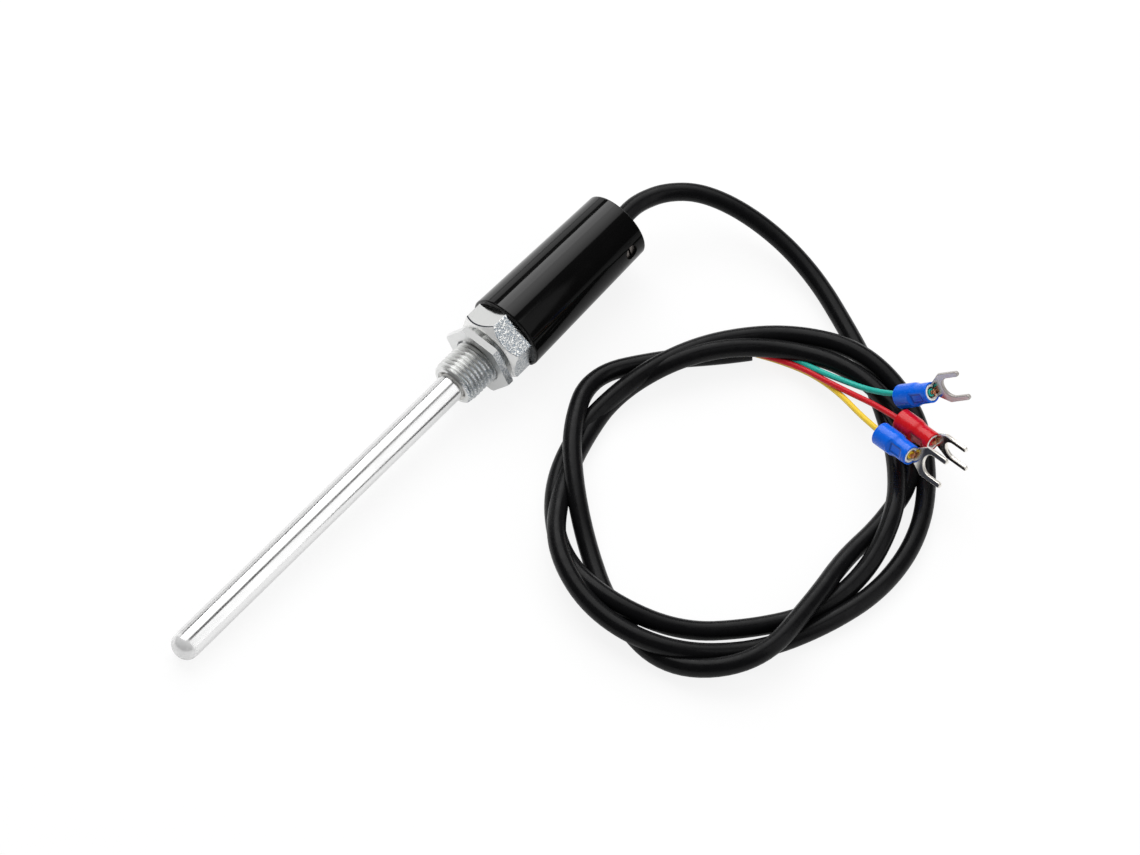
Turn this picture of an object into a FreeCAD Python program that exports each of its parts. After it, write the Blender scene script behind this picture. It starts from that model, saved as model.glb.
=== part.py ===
import FreeCAD, Part
import math
import os

# Three-wire temperature probe, in millimetres.
# Each piece of the probe is built on its own axis: x = 0 at the sleeve's front rim, the tip toward -x,
# the cable toward +x. The finished probe is then laid down on z = 0 by one placement.

# Stem
STEM_R = 3.0              # outside radius of the drawn tube
STEM_WALL = 0.5
STEM_LENGTH = 80.0        # from the end of the thread to the tip
DOME_R = 2.6              # corner radius of the domed tip
NECK_R = 2.75             # the tube is drawn down here, so its shoulder seats in the fitting
NECK_FIT = 0.03           # radial clearance of the neck in the fitting's bore

# Threaded fitting
HEX_FLATS = 14.0
HEX_LENGTH = 5.6
HEX_CHAMFER = 45.0        # degrees of the corner chamfer against the face
HEX_TURN = 36.0           # degrees from +y to the first corner
FACE_INSET = 0.4          # the chamfered face's circle lies this far inside the flats
CONE_SPARE = 0.5          # how far the chamfering blank reaches past the corners
THREAD_R = 5.0
THREAD_LENGTH = 10.6
THREAD_PITCH = 1.0
THREAD_DEPTH = 0.6
CREST_FLAT = 0.2
ROOT_FLAT = 0.24
RIDGE_SUNK = 0.15         # how deep the helical ridge stands in the core
THREAD_LEAD = 0.5         # length over which the first thread rises
LIP_R = 4.75              # plain lip in front of the first thread
LIP_LENGTH = 0.7
LIP_EDGE = 0.3            # chamfer of the lip's edges
RELIEF_LENGTH = 0.7       # plain core between thread and hexagon
MOUTH_R = 3.65            # radius of the recess round the stem
MOUTH_DEPTH = 1.4
SPIGOT_R = 6.6            # seat of the sleeve behind the hexagon
SPIGOT_LENGTH = 9.0
SPIGOT_GROOVE = 0.5       # depth of the two adhesive grooves
GROOVE_WIDTH = 1.2

# Lock nut
NUT_FLATS = 14.6
NUT_THICK = 1.5
NUT_TURN = 4.2
NUT_GAP = 1.5             # between the nut and the hexagon's face
NUT_FIT = 0.07            # radial clearance of the nut on the thread's crests
NUT_CHAMFER = 30.0
NUT_CORNER = 0.25         # how far the chamfer cuts its corners back at the faces
NUT_BORE_CHAMFER = 0.35

# Sleeve
SLEEVE_FRONT_R = 8.55
SLEEVE_REAR_R = 7.65
SLEEVE_LENGTH = 34.5
SLEEVE_EDGE = 0.4         # rounding of both rims
SLEEVE_FIT = 0.03         # radial clearance on the fitting's spigot
CAVITY_END = 24.5         # the boss that holds the cable starts here
CABLE_FIT = 0.12          # radial clearance of the cable in the boss
BEAD_LENGTH = 0.5         # adhesive squeezed out in front of the rim
BEAD_R = 8.3
BEAD_GAP = 0.02           # to the hexagon's flats
BEAD_UNDER = 0.3          # how far the ring's blank starts inside those flats

# Grub screw in the sleeve's side
SCREW_R = 1.5
SCREW_FIT = 0.05
SCREW_FROM_REAR = 4.1
SCREW_TURN = 168.0        # degrees from +y
SCREW_SUNK = 0.7          # depth of its slotted end under the sleeve's surface
SCREW_GAP = 0.05          # between its point and the cable's jacket
SLOT_WIDTH = 0.5
SLOT_DEPTH = 1.0
SCREW_POINT = 0.4

# Inside the stem
ELEMENT_R = 1.4
ELEMENT_LENGTH = 14.0
ELEMENT_FROM_TIP = 4.6
COMPOUND_FIT = 0.03
WIRE_R = 0.35
WIRE_PITCH_R = 0.9        # distance of each wire and core from the axis
WIRE_TURN = 30.0
WIRE_COUNT = 3
SLEEVING_R = 1.8
SLEEVING_WALL = 0.45
SEAL_LENGTH = 3.5
SEAL_FIT = 0.03
SPLICE_R = 0.76
SPLICE_FIT = 0.02
SPLICE_LENGTH = 8.0
SPLICE_START = 12.5
JOINT_AT = 16.0           # where each wire meets its core
JACKET_IN = 2.0           # length of jacket that stands into the cavity

# Cable and its coil
CABLE_R = 1.95
CORE_R = 0.6
COIL_X = 36.95
COIL_Y = -56.0
COIL_LAYERS = 2
COIL_ROUNDING = 1.2
STEPS = 16                # stations in one turn, clockwise from +x as seen from above
TURN_RADII = (
    (39.2, 33.5, 31.5, 31.7, 32.5, 33.5, 33.5, 36.2, 38.7, 38.7, 36.5, 34.0, 31.5, 30.5, 33.0, 36.8),
    (38.5, 39.0, 37.5, 36.5, 36.3, 36.2, 38.5, 42.5, 42.0, 39.5, 34.8, 32.3, 32.0, 29.5, 30.2, 32.5),
    (34.2, 35.0, 34.4, 30.5, 28.0, 32.4, 43.0, 45.4, 38.2, 32.8, 32.0, 34.5, 37.7, 33.5, 31.0),
)

# Route of the cable from the sleeve to the coil: the first run leaves along the probe's axis
EXIT_RUN = 6.8
CABLE_ROUTE = (
    (77.75, -2.1, 11.15),
    (82.55, -6.5, 10.6),
    (85.45, -12.5, 9.1),
    (87.25, -20.0, 6.9),
    (87.35, -28.5, 4.7),
    (85.15, -37.8, 2.9),
    (80.95, -47.8, 2.02),
    (75.95, -56.6, 2.0),
)

# Insulated fork terminals, each built on its own axis: x = 0 at the rear of its vinyl sleeve, the fork
# toward +x, z away from the tongue
VINYL_LENGTH = 10.0
VINYL_REAR_R = 2.45
VINYL_FRONT_R = 2.15
VINYL_REAR_BORE = 1.9     # radius of the funnel that takes the core
VINYL_EDGE = 0.15         # rounding of both ends
VINYL_BULGE = 0.1         # the neck behind the mouth is this much wider
FLARE_LENGTH = 1.8
CRIMP_START = 4.4
CRIMP_END = 7.4
CRIMP_HALF = 1.95         # half the height of the sleeve where the jaws flattened it
CRIMP_EASE = 0.9
BARREL_R = 1.7
BARREL_BORE = 1.2
BARREL_START = 4.4
BARREL_SUNK = 0.3         # how far the barrel's mouth lies inside the sleeve's mouth
FORK_GAP = 0.05           # from the sleeve's mouth to the tongue's shoulders
VINYL_FIT = 0.02
TONGUE_THICK = 0.8
FORK_HALF = 3.6
FORK_SLOT = 2.15          # half the width of the slot, which takes a 4 mm screw
FORK_LENGTH = 8.5         # from the sleeve's mouth to the ends of the tines
CROTCH = 2.4              # from the sleeve's mouth to the bottom of the slot
SHOULDER = 2.9
NECK_HALF = 1.45          # half the width of the tongue where it leaves the barrel
NECK_ROOT = 1.5           # how far the tongue reaches back into the barrel
CORE_IN = 9.2             # how far the insulated core reaches into the sleeve
STRANDS_R = 1.16          # the strands are folded back round the core and fill the barrel
STRANDS_BACK = 3.8        # length of the folded strands
STRANDS_FIT = 0.02
TUFT_R = 0.85             # their tuft in front of the barrel
TUFT_OUT = 0.5

# Where each terminal lies: rear of its vinyl sleeve, then yaw, pitch and roll in degrees
TERMINALS = {
    "green": ((69.55, -69.4, 10.6), -68.0, 33.0, 75.0),
    "red": ((66.25, -73.8, 10.6), -97.0, 5.0, 87.0),
    "yellow": ((60.45, -73.2, 10.6), -101.0, 16.0, 54.0),
}
# Routes of the three leads from the coil to a point behind each terminal
LEAD_ROUTES = {
    "green": ((64.4, -37.6, 2.6), (66.8, -43.6, 3.2), (67.2, -53.8, 5.3)),
    "red": ((63.0, -39.1, 2.9), (65.6, -45.7, 3.3), (66.1, -57.4, 5.2)),
    "yellow": ((63.6, -38.5, 1.5), (66.4, -45.2, 1.4), (66.1, -56.0, 3.4)),
}
LEAD_RUNUP = {"green": 3.0, "red": 3.0, "yellow": 2.5}

# Places that follow from the sizes above
HEX_FRONT = -HEX_LENGTH
THREAD_END = HEX_FRONT - THREAD_LENGTH
TIP = THREAD_END - STEM_LENGTH
SHOULDER_AT = THREAD_END + MOUTH_DEPTH
NECK_BORE = NECK_R - STEM_WALL
NUT_REAR = HEX_FRONT - NUT_GAP
NUT_FRONT = NUT_REAR - NUT_THICK
SLEEVE_SLOPE = (SLEEVE_FRONT_R - SLEEVE_REAR_R) / SLEEVE_LENGTH
BARREL_END = VINYL_LENGTH - BARREL_SUNK
JACKET_END = CAVITY_END - JACKET_IN

X_AXIS = FreeCAD.Vector(1, 0, 0)
Y_AXIS = FreeCAD.Vector(0, 1, 0)
Z_AXIS = FreeCAD.Vector(0, 0, 1)


def vec(x, y, z=0.0):
    """A point from its coordinates."""
    return FreeCAD.Vector(x, y, z)


def rod(radius, x0, x1, y=0.0, z=0.0):
    """A round bar along x."""
    return Part.makeCylinder(radius, x1 - x0, vec(x0, y, z), X_AXIS)


def turned(points):
    """A body of revolution about the x axis from the (x, radius) corners of its half section."""
    corners = [vec(x, 0, r) for x, r in points]
    outline = Part.makePolygon(corners + [corners[0]])
    return Part.Face(outline).revolve(vec(0, 0, 0), X_AXIS, 360)


def hexagon(flats, x0, x1, turn):
    """A hexagonal bar along x, with its first corner turned from +y."""
    reach = flats / math.sqrt(3)
    corners = []
    for step in range(6):
        angle = math.radians(turn + 60 * step)
        corners.append(vec(x0, reach * math.cos(angle), reach * math.sin(angle)))
    outline = Part.makePolygon(corners + [corners[0]])
    return Part.Face(outline).extrude(vec(x1 - x0, 0, 0))


def corner_cone(flats, face_r, x0, x1, chamfer, both):
    """The turned blank that chamfers a hexagon down to a circle at the front face, or at both faces."""
    reach = flats / math.sqrt(3) + CONE_SPARE
    depth = (reach - face_r) * math.tan(math.radians(chamfer))
    points = [(x0, 0), (x0, face_r), (x0 + depth, reach)]
    if both:
        points += [(x1 - depth, reach), (x1, face_r), (x1, 0)]
    else:
        points += [(x1, reach), (x1, 0)]
    return turned(points)


def lay_down():
    """The tilt and the place that put the sleeve's front rim and the tip on z = 0."""
    rim_ring = SLEEVE_FRONT_R - SLEEVE_EDGE
    tip_ring = STEM_R - DOME_R
    rise = rim_ring - tip_ring
    run = SLEEVE_EDGE - (TIP + DOME_R)
    tilt = math.acos((DOME_R - SLEEVE_EDGE) / math.hypot(rise, run)) - math.atan2(run, rise)
    height = rim_ring * math.cos(tilt) + SLEEVE_EDGE - SLEEVE_EDGE * math.sin(tilt)
    low_x = (TIP + DOME_R) * math.cos(tilt) - tip_ring * math.sin(tilt) - DOME_R
    rear_ring = SLEEVE_REAR_R - SLEEVE_EDGE
    high_x = (SLEEVE_LENGTH - SLEEVE_EDGE) * math.cos(tilt) + rear_ring * math.sin(tilt) + SLEEVE_EDGE
    base = vec(-(low_x + high_x) / 2, 0, height)
    return FreeCAD.Placement(base, FreeCAD.Rotation(Y_AXIS, -math.degrees(tilt)))


def make_sheath():
    """Drawn tube with a closed domed tip and a necked rear end."""
    x_dome = TIP + DOME_R
    flat_r = STEM_R - DOME_R
    half = math.sqrt(0.5)
    rear = SPIGOT_LENGTH
    inner_r = STEM_R - STEM_WALL
    ball = DOME_R - STEM_WALL

    def edge(x0, r0, x1, r1):
        return Part.LineSegment(vec(x0, 0, r0), vec(x1, 0, r1)).toShape()

    def bow(radius):
        middle = vec(x_dome - radius * half, 0, flat_r + radius * half)
        return Part.Arc(vec(x_dome - radius, 0, flat_r), middle, vec(x_dome, 0, flat_r + radius)).toShape()

    outline = [
        edge(TIP, 0, TIP, flat_r),
        bow(DOME_R),
        edge(x_dome, STEM_R, SHOULDER_AT, STEM_R),
        edge(SHOULDER_AT, STEM_R, SHOULDER_AT, NECK_R),
        edge(SHOULDER_AT, NECK_R, rear, NECK_R),
        edge(rear, NECK_R, rear, NECK_BORE),
        edge(rear, NECK_BORE, SHOULDER_AT, NECK_BORE),
        edge(SHOULDER_AT, NECK_BORE, SHOULDER_AT - STEM_WALL, inner_r),
        edge(SHOULDER_AT - STEM_WALL, inner_r, x_dome, inner_r),
        bow(ball),
        edge(x_dome - ball, flat_r, x_dome - ball, 0),
        edge(x_dome - ball, 0, TIP, 0),
    ]
    wire = Part.Wire(Part.__sortEdges__(outline))
    return Part.Face(wire).revolve(vec(0, 0, 0), X_AXIS, 360)


def make_thread():
    """Core of the thread with its helical ridge and the plain lip in front of it."""
    ridge_start = THREAD_END + LIP_LENGTH
    ridge_end = HEX_FRONT - RELIEF_LENGTH
    root_r = THREAD_R - THREAD_DEPTH
    foot_r = root_r - RIDGE_SUNK
    foot_half = (THREAD_PITCH - ROOT_FLAT) / 2
    foot_half += RIDGE_SUNK * (foot_half - CREST_FLAT / 2) / THREAD_DEPTH
    top_half = CREST_FLAT / 2
    reach = ridge_end - THREAD_END + 2 * THREAD_PITCH
    helix = Part.makeHelix(THREAD_PITCH, reach, foot_r)
    profile = Part.makePolygon([
        vec(foot_r, 0, -foot_half),
        vec(THREAD_R, 0, -top_half),
        vec(THREAD_R, 0, top_half),
        vec(foot_r, 0, foot_half),
        vec(foot_r, 0, -foot_half),
    ])
    ridge = helix.makePipeShell([profile], True, True)
    start = vec(THREAD_END - THREAD_PITCH, 0, 0)
    ridge.Placement = FreeCAD.Placement(start, FreeCAD.Rotation(Z_AXIS, X_AXIS))
    blank = turned([
        (ridge_start, 0),
        (ridge_start, root_r),
        (ridge_start + THREAD_LEAD, THREAD_R + RIDGE_SUNK),
        (ridge_end, THREAD_R + RIDGE_SUNK),
        (ridge_end, 0),
    ])
    lip = turned([
        (THREAD_END, 0),
        (THREAD_END, LIP_R - LIP_EDGE),
        (THREAD_END + LIP_EDGE, LIP_R),
        (ridge_start - LIP_EDGE, LIP_R),
        (ridge_start, root_r),
        (ridge_start, 0),
    ])
    return rod(root_r, ridge_start, HEX_FRONT).fuse(lip).fuse(ridge.common(blank))


def make_fitting():
    """Chamfered hexagon with a threaded nose, a mouth recess and a grooved spigot."""
    blank = hexagon(HEX_FLATS, HEX_FRONT, 0, HEX_TURN)
    head = blank.common(corner_cone(HEX_FLATS, HEX_FLATS / 2 - FACE_INSET, HEX_FRONT, 0, HEX_CHAMFER, False))
    ring_r = SPIGOT_R - SPIGOT_GROOVE
    section = [(0, 0), (0, SPIGOT_R)]
    for share in (1, 2):
        start = SPIGOT_LENGTH * share / 3 - GROOVE_WIDTH / 2
        section += [(start, SPIGOT_R), (start, ring_r)]
        section += [(start + GROOVE_WIDTH, ring_r), (start + GROOVE_WIDTH, SPIGOT_R)]
    section += [(SPIGOT_LENGTH, SPIGOT_R), (SPIGOT_LENGTH, 0)]
    body = head.fuse(turned(section)).removeSplitter().fuse(make_thread())
    body = body.cut(rod(NECK_R + NECK_FIT, THREAD_END, SPIGOT_LENGTH))
    return body.cut(rod(MOUTH_R, THREAD_END, SHOULDER_AT))


def make_nut():
    """Thin hexagon nut, chamfered on both faces, with a countersunk bore."""
    blank = hexagon(NUT_FLATS, NUT_FRONT, NUT_REAR, NUT_TURN)
    face_r = NUT_FLATS / math.sqrt(3) - NUT_CORNER
    body = blank.common(corner_cone(NUT_FLATS, face_r, NUT_FRONT, NUT_REAR, NUT_CHAMFER, True))
    bore_r = THREAD_R + NUT_FIT
    wide = bore_r + NUT_BORE_CHAMFER
    hole = turned([
        (NUT_FRONT, 0),
        (NUT_FRONT, wide),
        (NUT_FRONT + NUT_BORE_CHAMFER, bore_r),
        (NUT_REAR - NUT_BORE_CHAMFER, bore_r),
        (NUT_REAR, wide),
        (NUT_REAR, 0),
    ])
    return body.cut(hole)


def screw_frame():
    """Placement of the grub screw: its own z axis points out of the sleeve's side."""
    angle = math.radians(SCREW_TURN)
    outward = vec(0, math.cos(angle), math.sin(angle))
    x = SLEEVE_LENGTH - SCREW_FROM_REAR
    return FreeCAD.Placement(vec(x, 0, 0), FreeCAD.Rotation(Z_AXIS, outward))


def make_sleeve():
    """Tapered sleeve: hollow over the fitting and the joints, solid round the cable at the rear."""
    body = turned([
        (0, 0),
        (0, SLEEVE_FRONT_R),
        (SLEEVE_LENGTH, SLEEVE_REAR_R),
        (SLEEVE_LENGTH, 0),
    ])
    rims = [e for e in body.Edges if abs(e.BoundBox.XLength) < 1e-6 and e.BoundBox.YLength > SLEEVE_REAR_R]
    body = body.makeFillet(SLEEVE_EDGE, rims)
    body = body.cut(rod(SPIGOT_R + SLEEVE_FIT, 0, CAVITY_END))
    body = body.cut(rod(CABLE_R + CABLE_FIT, CAVITY_END, SLEEVE_LENGTH))
    hole = Part.makeCylinder(SCREW_R + SCREW_FIT, SLEEVE_FRONT_R)
    hole.Placement = screw_frame()
    return body.cut(hole)


def make_screw():
    """Slotted grub screw with a chamfered point that bears on the cable's jacket."""
    surface = SLEEVE_FRONT_R - SLEEVE_SLOPE * (SLEEVE_LENGTH - SCREW_FROM_REAR)
    low = CABLE_R + SCREW_GAP
    top = surface - SCREW_SUNK
    half = SLOT_WIDTH / 2
    body = Part.makeCylinder(SCREW_R, top - low, vec(0, 0, low))
    tip = Part.makeCone(SCREW_R - SCREW_POINT, SCREW_R, SCREW_POINT, vec(0, 0, low))
    body = body.cut(Part.makeCylinder(SCREW_R, SCREW_POINT, vec(0, 0, low))).fuse(tip)
    slot = Part.makeBox(SLOT_WIDTH, 2 * SCREW_R, SLOT_DEPTH, vec(-half, -SCREW_R, top - SLOT_DEPTH))
    body = body.cut(slot).removeSplitter()
    body.Placement = screw_frame()
    return body


def make_bead():
    """Bead of adhesive between the hexagon and the sleeve's front rim."""
    ring = turned([
        (-BEAD_LENGTH, HEX_FLATS / 2 - BEAD_UNDER),
        (-BEAD_LENGTH, BEAD_R - BEAD_LENGTH / 2),
        (-BEAD_LENGTH / 2, BEAD_R),
        (0, BEAD_R),
        (0, HEX_FLATS / 2 - BEAD_UNDER),
    ])
    return ring.cut(hexagon(HEX_FLATS + 2 * BEAD_GAP, -BEAD_LENGTH, 0, HEX_TURN))


def make_element():
    """Ceramic body of the resistance element."""
    start = TIP + ELEMENT_FROM_TIP
    return rod(ELEMENT_R, start, start + ELEMENT_LENGTH)


def make_compound():
    """Compound that fills the tip round the element."""
    x_dome = TIP + DOME_R
    flat_r = STEM_R - DOME_R
    radius = DOME_R - STEM_WALL - COMPOUND_FIT
    outer = flat_r + radius
    half = math.sqrt(0.5)
    end = TIP + ELEMENT_FROM_TIP + ELEMENT_LENGTH
    middle = vec(x_dome - radius * half, 0, flat_r + radius * half)
    outline = [
        Part.LineSegment(vec(x_dome - radius, 0, 0), vec(x_dome - radius, 0, flat_r)).toShape(),
        Part.Arc(vec(x_dome - radius, 0, flat_r), middle, vec(x_dome, 0, outer)).toShape(),
        Part.LineSegment(vec(x_dome, 0, outer), vec(end, 0, outer)).toShape(),
        Part.LineSegment(vec(end, 0, outer), vec(end, 0, 0)).toShape(),
        Part.LineSegment(vec(end, 0, 0), vec(x_dome - radius, 0, 0)).toShape(),
    ]
    body = Part.Face(Part.Wire(outline)).revolve(vec(0, 0, 0), X_AXIS, 360)
    return body.cut(rod(ELEMENT_R + COMPOUND_FIT, TIP + ELEMENT_FROM_TIP, end))


def strand_place(number):
    """The (y, z) of one wire or core in the three-strand lay."""
    angle = math.radians(WIRE_TURN + 360 / WIRE_COUNT * number)
    return WIRE_PITCH_R * math.cos(angle), WIRE_PITCH_R * math.sin(angle)


def make_wire(number):
    """Insulated wire from the element to its joint."""
    y, z = strand_place(number)
    return rod(WIRE_R, TIP + ELEMENT_FROM_TIP + ELEMENT_LENGTH, JOINT_AT, y, z)


def make_core(number):
    """End of one cable core, from its joint to the end of the jacket."""
    y, z = strand_place(number)
    return rod(CORE_R, JOINT_AT, JACKET_END, y, z)


def make_splice(number):
    """Shrunk sleeve over one joint."""
    y, z = strand_place(number)
    end = SPLICE_START + SPLICE_LENGTH
    body = rod(SPLICE_R, SPLICE_START, end, y, z)
    return body.cut(rod(CORE_R + SPLICE_FIT, SPLICE_START, end, y, z))


def make_sleeving():
    """Insulating sleeving round the three wires inside the stem."""
    start = TIP + ELEMENT_FROM_TIP + ELEMENT_LENGTH
    end = SPIGOT_LENGTH - SEAL_LENGTH
    return rod(SLEEVING_R, start, end).cut(rod(SLEEVING_R - SLEEVING_WALL, start, end))


def make_seal():
    """Seal that closes the stem's rear end round the wires."""
    start = SPIGOT_LENGTH - SEAL_LENGTH
    body = rod(NECK_BORE - SEAL_FIT, start, SPIGOT_LENGTH)
    for number in range(WIRE_COUNT):
        y, z = strand_place(number)
        body = body.cut(rod(WIRE_R + SEAL_FIT, start, SPIGOT_LENGTH, y, z))
    return body


def make_entry():
    """The cable inside the sleeve's boss, where the grub screw holds it."""
    return rod(CABLE_R, JACKET_END, SLEEVE_LENGTH)


def rounded_route(points, radius, name):
    """A tube along straight runs joined by arcs as large as the runs allow."""
    edges = []
    start = points[0]
    for i in range(1, len(points) - 1):
        before = (points[i - 1] - points[i]).normalize()
        after = (points[i + 1] - points[i]).normalize()
        turn = math.pi - before.getAngle(after)
        run = min((points[i - 1] - points[i]).Length, (points[i + 1] - points[i]).Length)
        reach = 0.45 * run
        bend = reach / math.tan(turn / 2)
        print("%s bend %d: radius %.1f mm, turn %.0f degrees" % (name, i, bend, math.degrees(turn)))
        first = points[i] + before * reach
        last = points[i] + after * reach
        middle_way = (before + after).normalize()
        centre_distance = bend / math.cos(turn / 2)
        middle = points[i] + middle_way * (centre_distance - bend)
        edges.append(Part.LineSegment(start, first).toShape())
        edges.append(Part.Arc(first, middle, last).toShape())
        start = last
    edges.append(Part.LineSegment(start, points[-1]).toShape())
    path = Part.Wire(edges)
    direction = points[1] - points[0]
    section = Part.Wire(Part.makeCircle(radius, points[0], direction))
    tube = path.makePipeShell([section], True, True)
    ideal = math.pi * radius ** 2 * path.Length
    print("%s length %.1f mm, volume over section times length %.4f" % (name, path.Length, tube.Volume / ideal))
    return tube


def make_cable_lead(place):
    """The cable from the sleeve's rear face to the coil."""
    exit_point = place.multVec(vec(SLEEVE_LENGTH, 0, 0))
    after_exit = place.multVec(vec(SLEEVE_LENGTH + EXIT_RUN, 0, 0))
    points = [exit_point, after_exit]
    points += [vec(*point) for point in CABLE_ROUTE]
    return rounded_route(points, CABLE_R, "cable_lead")


def ring_wall(radii):
    """A closed smooth wall through one point at each station of a turn."""
    points = []
    for step, radius in enumerate(radii):
        angle = -2 * math.pi * step / STEPS
        points.append(vec(COIL_X + radius * math.cos(angle), COIL_Y + radius * math.sin(angle)))
    curve = Part.BSplineCurve()
    curve.interpolate(points, PeriodicFlag=True)
    return Part.Face(Part.Wire(curve.toShape()))


def make_coil():
    """The coil's outer shape: from its innermost to its outermost turn, two layers high."""
    stations = [[turn[step] for turn in TURN_RADII if step < len(turn)] for step in range(STEPS)]
    outer = ring_wall([max(radii) + CABLE_R for radii in stations])
    inner = ring_wall([min(radii) - CABLE_R for radii in stations])
    ring = outer.cut(inner).Faces[0].extrude(vec(0, 0, 2 * CABLE_R * COIL_LAYERS))
    rims = [e for e in ring.Edges if e.BoundBox.ZLength < 1e-6]
    return ring.makeFillet(COIL_ROUNDING, rims)


def terminal_frame(colour):
    """Placement of one terminal."""
    rear, yaw, pitch, roll = TERMINALS[colour]
    return FreeCAD.Placement(vec(*rear), FreeCAD.Rotation(yaw, -pitch, roll))


def make_vinyl():
    """Vinyl sleeve: a wide wire end, a narrower mouth, and two flats where the jaws closed on it."""
    throat = CRIMP_START - CRIMP_EASE - FLARE_LENGTH / 2
    body = turned([
        (0, 0),
        (0, VINYL_REAR_R - VINYL_EDGE),
        (VINYL_EDGE, VINYL_REAR_R),
        (throat, VINYL_REAR_R),
        (throat + FLARE_LENGTH, VINYL_FRONT_R + VINYL_BULGE),
        (VINYL_LENGTH - VINYL_EDGE, VINYL_FRONT_R),
        (VINYL_LENGTH, VINYL_FRONT_R - VINYL_EDGE),
        (VINYL_LENGTH, 0),
    ])
    jaw_half = (CRIMP_END - CRIMP_START) / 2
    middle = (CRIMP_START + CRIMP_END) / 2
    for side in (1, -1):
        jaw = Part.makePolygon([
            vec(middle - jaw_half - CRIMP_EASE, -VINYL_REAR_R, side * VINYL_REAR_R),
            vec(middle - jaw_half, -VINYL_REAR_R, side * CRIMP_HALF),
            vec(middle + jaw_half, -VINYL_REAR_R, side * CRIMP_HALF),
            vec(middle + jaw_half + CRIMP_EASE, -VINYL_REAR_R, side * VINYL_REAR_R),
            vec(middle - jaw_half - CRIMP_EASE, -VINYL_REAR_R, side * VINYL_REAR_R),
        ])
        body = body.cut(Part.Face(jaw).extrude(vec(0, 2 * VINYL_REAR_R, 0)))
    bore = rod(BARREL_R + VINYL_FIT, BARREL_START, VINYL_LENGTH)
    funnel = Part.makeCone(VINYL_REAR_BORE, BARREL_R + VINYL_FIT, BARREL_START, vec(0, 0, 0), X_AXIS)
    return body.cut(bore.fuse(funnel))


def fork_outline():
    """Outline of the stamped tongue: neck, shoulders, round slot and two round-ended tines."""
    tip_x = VINYL_LENGTH + FORK_LENGTH
    tine_r = (FORK_HALF - FORK_SLOT) / 2
    slot_x = VINYL_LENGTH + CROTCH + FORK_SLOT
    neck_x = BARREL_END
    shoulder_x = neck_x + SHOULDER
    tine_end = tip_x - tine_r
    tine_y = FORK_SLOT + tine_r

    def line(x0, y0, x1, y1):
        return Part.LineSegment(vec(x0, y0), vec(x1, y1)).toShape()

    def arc(x0, y0, xm, ym, x1, y1):
        return Part.Arc(vec(x0, y0), vec(xm, ym), vec(x1, y1)).toShape()

    root = neck_x - NECK_ROOT
    return Part.Wire([
        line(root, -NECK_HALF, neck_x, -NECK_HALF),
        line(neck_x, -NECK_HALF, shoulder_x, -FORK_HALF),
        line(shoulder_x, -FORK_HALF, tine_end, -FORK_HALF),
        arc(tine_end, -FORK_HALF, tip_x, -tine_y, tine_end, -FORK_SLOT),
        line(tine_end, -FORK_SLOT, slot_x, -FORK_SLOT),
        arc(slot_x, -FORK_SLOT, slot_x - FORK_SLOT, 0, slot_x, FORK_SLOT),
        line(slot_x, FORK_SLOT, tine_end, FORK_SLOT),
        arc(tine_end, FORK_SLOT, tip_x, tine_y, tine_end, FORK_HALF),
        line(tine_end, FORK_HALF, shoulder_x, FORK_HALF),
        line(shoulder_x, FORK_HALF, neck_x, NECK_HALF),
        line(neck_x, NECK_HALF, root, NECK_HALF),
        line(root, NECK_HALF, root, -NECK_HALF),
    ])


def make_fork():
    """Stamped fork with the barrel rolled up from the same strip."""
    tongue = Part.Face(fork_outline()).extrude(vec(0, 0, TONGUE_THICK))
    tongue.translate(vec(0, 0, -BARREL_R))
    inside = rod(BARREL_R, BARREL_START, BARREL_END)
    neck = rod(BARREL_R, BARREL_START, VINYL_LENGTH + FORK_GAP)
    root = tongue.common(neck).cut(rod(BARREL_BORE, BARREL_START, BARREL_END))
    hidden = Part.makeBox(VINYL_LENGTH + FORK_GAP, 4 * FORK_HALF, 4 * BARREL_R,
                          vec(0, -2 * FORK_HALF, -2 * BARREL_R))
    barrel = inside.cut(rod(BARREL_BORE, BARREL_START, BARREL_END))
    return barrel.fuse(root).fuse(tongue.cut(hidden)).removeSplitter()


def make_conductor():
    """Bared strands of one core, folded back over its insulation inside the barrel."""
    start = CORE_IN - STRANDS_BACK
    inner_r = CORE_R + STRANDS_FIT
    return turned([
        (start, inner_r),
        (start, STRANDS_R),
        (BARREL_END, STRANDS_R),
        (BARREL_END, TUFT_R),
        (BARREL_END + TUFT_OUT, TUFT_R / 2),
        (BARREL_END + TUFT_OUT, 0),
        (CORE_IN, 0),
        (CORE_IN, inner_r),
    ])


def make_lead(colour):
    """One insulated core from the coil to its terminal."""
    frame = terminal_frame(colour)
    points = [vec(*point) for point in LEAD_ROUTES[colour]]
    points.append(frame.multVec(vec(-LEAD_RUNUP[colour], 0, 0)))
    points.append(frame.multVec(vec(CORE_IN, 0, 0)))
    return rounded_route(points, CORE_R, "lead_" + colour)


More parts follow.
